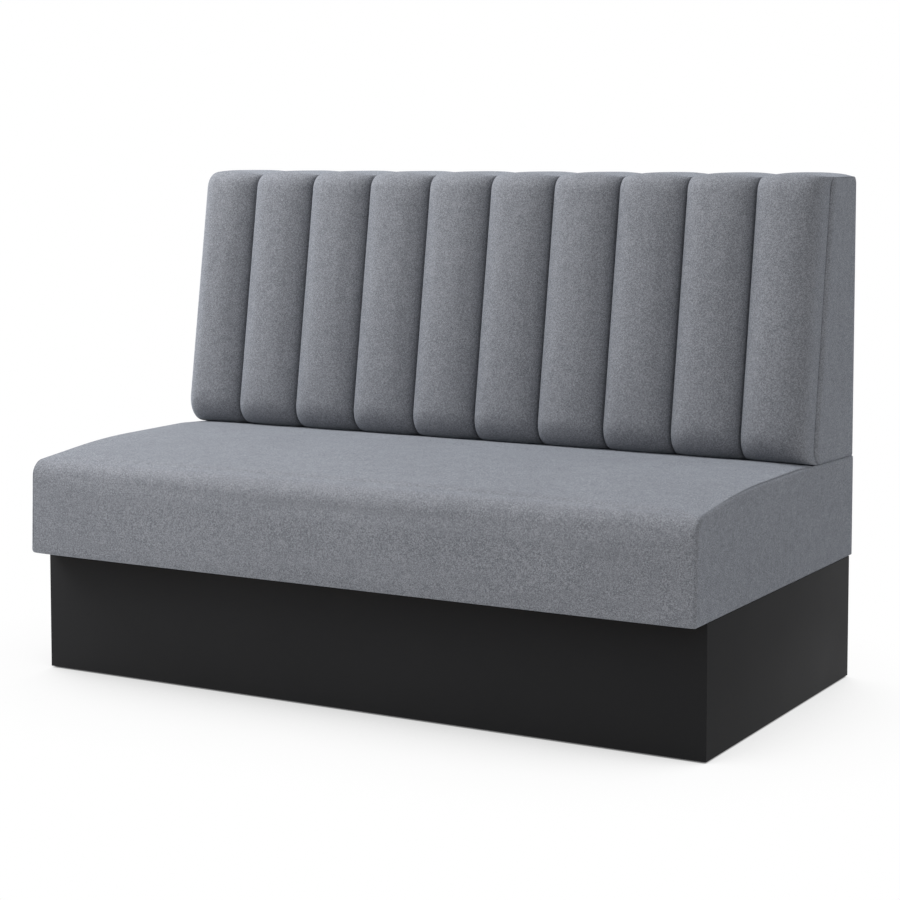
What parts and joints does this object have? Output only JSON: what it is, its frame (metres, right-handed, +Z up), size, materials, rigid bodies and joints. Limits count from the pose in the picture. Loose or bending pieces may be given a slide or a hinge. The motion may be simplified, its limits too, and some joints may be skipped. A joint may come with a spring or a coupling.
{
  "type": "restaurant booth seat",
  "caption": "Free-standing single booth bench with a vertically channelled high back, an upholstered crowned seat and a black recessed plinth on levelling feet.",
  "frame": {"origin": "on the floor, under the centre of the outline seen from above", "axes": "+X along the seat to the sitter's left, +Y to the rear of the back, +Z up"},
  "size_m": [1.5, 0.826, 1.047],
  "materials": {
    "upholstery_fabric": "grey-blue mottled flat woven fabric with a soft nap",
    "cushion_foam": "upholstery foam",
    "plywood": "birch plywood",
    "black_laminate": "plywood faced with matt black laminate",
    "black_nylon": "matt black nylon",
    "zinc_steel": "zinc plated steel"
  },
  "bodies": {
    "booth": {"back_base_board": "plywood", "back_bolts": "zinc_steel", "back_face_board": "plywood", "back_left_cover": "upholstery_fabric", "back_rear_board": "plywood", "back_rear_cover": "upholstery_fabric", "back_rib_left": "plywood", "back_rib_left_end": "plywood", "back_rib_right": "plywood", "back_rib_right_end": "plywood", "back_right_cover": "upholstery_fabric", "back_tee_nuts": "zinc_steel", "back_top_board": "plywood", "channel_01": "upholstery_fabric", "channel_02": "upholstery_fabric", "channel_03": "upholstery_fabric", "channel_04": "upholstery_fabric", "channel_05": "upholstery_fabric", "channel_06": "upholstery_fabric", "channel_07": "upholstery_fabric", "channel_08": "upholstery_fabric", "channel_09": "upholstery_fabric", "channel_10": "upholstery_fabric", "corner_block_front_left": "plywood", "corner_block_front_right": "plywood", "corner_block_rear_left": "plywood", "corner_block_rear_right": "plywood", "foot_inserts": "zinc_steel", "plinth_front_panel": "black_laminate", "plinth_left_panel": "black_laminate", "plinth_rear_panel": "black_laminate", "plinth_rib_left": "plywood", "plinth_rib_middle": "plywood", "plinth_rib_right": "plywood", "plinth_right_panel": "black_laminate", "riser_board": "plywood", "riser_rail": "plywood", "seat_base_board": "plywood", "seat_cover": "upholstery_fabric", "seat_deck": "plywood", "seat_foam": "cushion_foam", "seat_front_rail": "plywood", "seat_left_cover": "upholstery_fabric", "seat_left_panel": "plywood", "seat_rear_rail": "plywood", "seat_rib_left": "plywood", "seat_rib_right": "plywood", "seat_right_cover": "upholstery_fabric", "seat_right_panel": "plywood", "seat_screws": "zinc_steel"},
    "foot_front_left": {"foot_pad_front_left": "black_nylon", "foot_stem_front_left": "zinc_steel"},
    "foot_front_right": {"foot_pad_front_right": "black_nylon", "foot_stem_front_right": "zinc_steel"},
    "foot_rear_left": {"foot_pad_rear_left": "black_nylon", "foot_stem_rear_left": "zinc_steel"},
    "foot_rear_right": {"foot_pad_rear_right": "black_nylon", "foot_stem_rear_right": "zinc_steel"}
  },
  "joints": [
    {"name": "foot_front_left_screw", "type": "slide", "parent": "booth", "child": "foot_front_left", "axis": [0, 0, -1], "range_m": [0, 0.012]},
    {"name": "foot_front_right_screw", "type": "slide", "parent": "booth", "child": "foot_front_right", "axis": [0, 0, -1], "range_m": [0, 0.012]},
    {"name": "foot_rear_left_screw", "type": "slide", "parent": "booth", "child": "foot_rear_left", "axis": [0, 0, -1], "range_m": [0, 0.012]},
    {"name": "foot_rear_right_screw", "type": "slide", "parent": "booth", "child": "foot_rear_right", "axis": [0, 0, -1], "range_m": [0, 0.012]}
  ]
}
